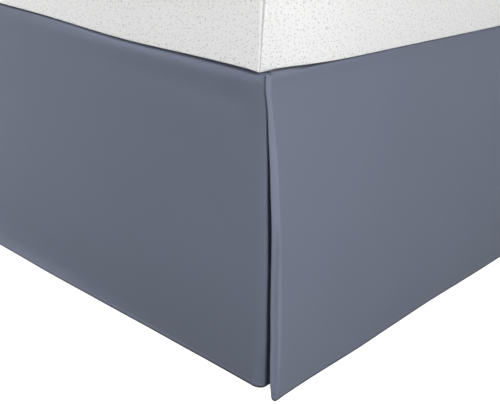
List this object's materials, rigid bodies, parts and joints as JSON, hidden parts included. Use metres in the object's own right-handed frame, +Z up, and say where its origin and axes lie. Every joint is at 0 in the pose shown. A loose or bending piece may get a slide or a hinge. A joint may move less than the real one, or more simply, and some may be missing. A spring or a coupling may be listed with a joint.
{
  "type": "bed skirt on a plain bed",
  "caption": "Tailored bed skirt with split corners, held between a mattress and a box spring on plain legs, hanging to just above the floor.",
  "frame": {"origin": "on the floor, under the middle of the whole object", "axes": "+Z up, +Y along the bed towards its head, +X to the right when looking towards the head from the foot"},
  "size_m": [1.532, 2.0556, 0.6374],
  "materials": {
    "skirt_cloth": "slate blue-grey plain weave, matte with a faint sheen",
    "mattress_knit": "white stretch knit with a fine pin-dot texture",
    "box_spring_cover": "plain dark cover cloth",
    "leg_wood": "dark stained, satin"
  },
  "bodies": {
    "root": {"skirt_deck": "skirt_cloth", "drop_foot": "skirt_cloth", "drop_left": "skirt_cloth", "drop_right": "skirt_cloth", "mattress": "mattress_knit", "box_spring": "box_spring_cover", "leg_foot_left": "leg_wood", "leg_foot_right": "leg_wood", "leg_foot_middle": "leg_wood", "leg_head_left": "leg_wood", "leg_head_right": "leg_wood", "leg_head_middle": "leg_wood"}
  },
  "joints": []
}
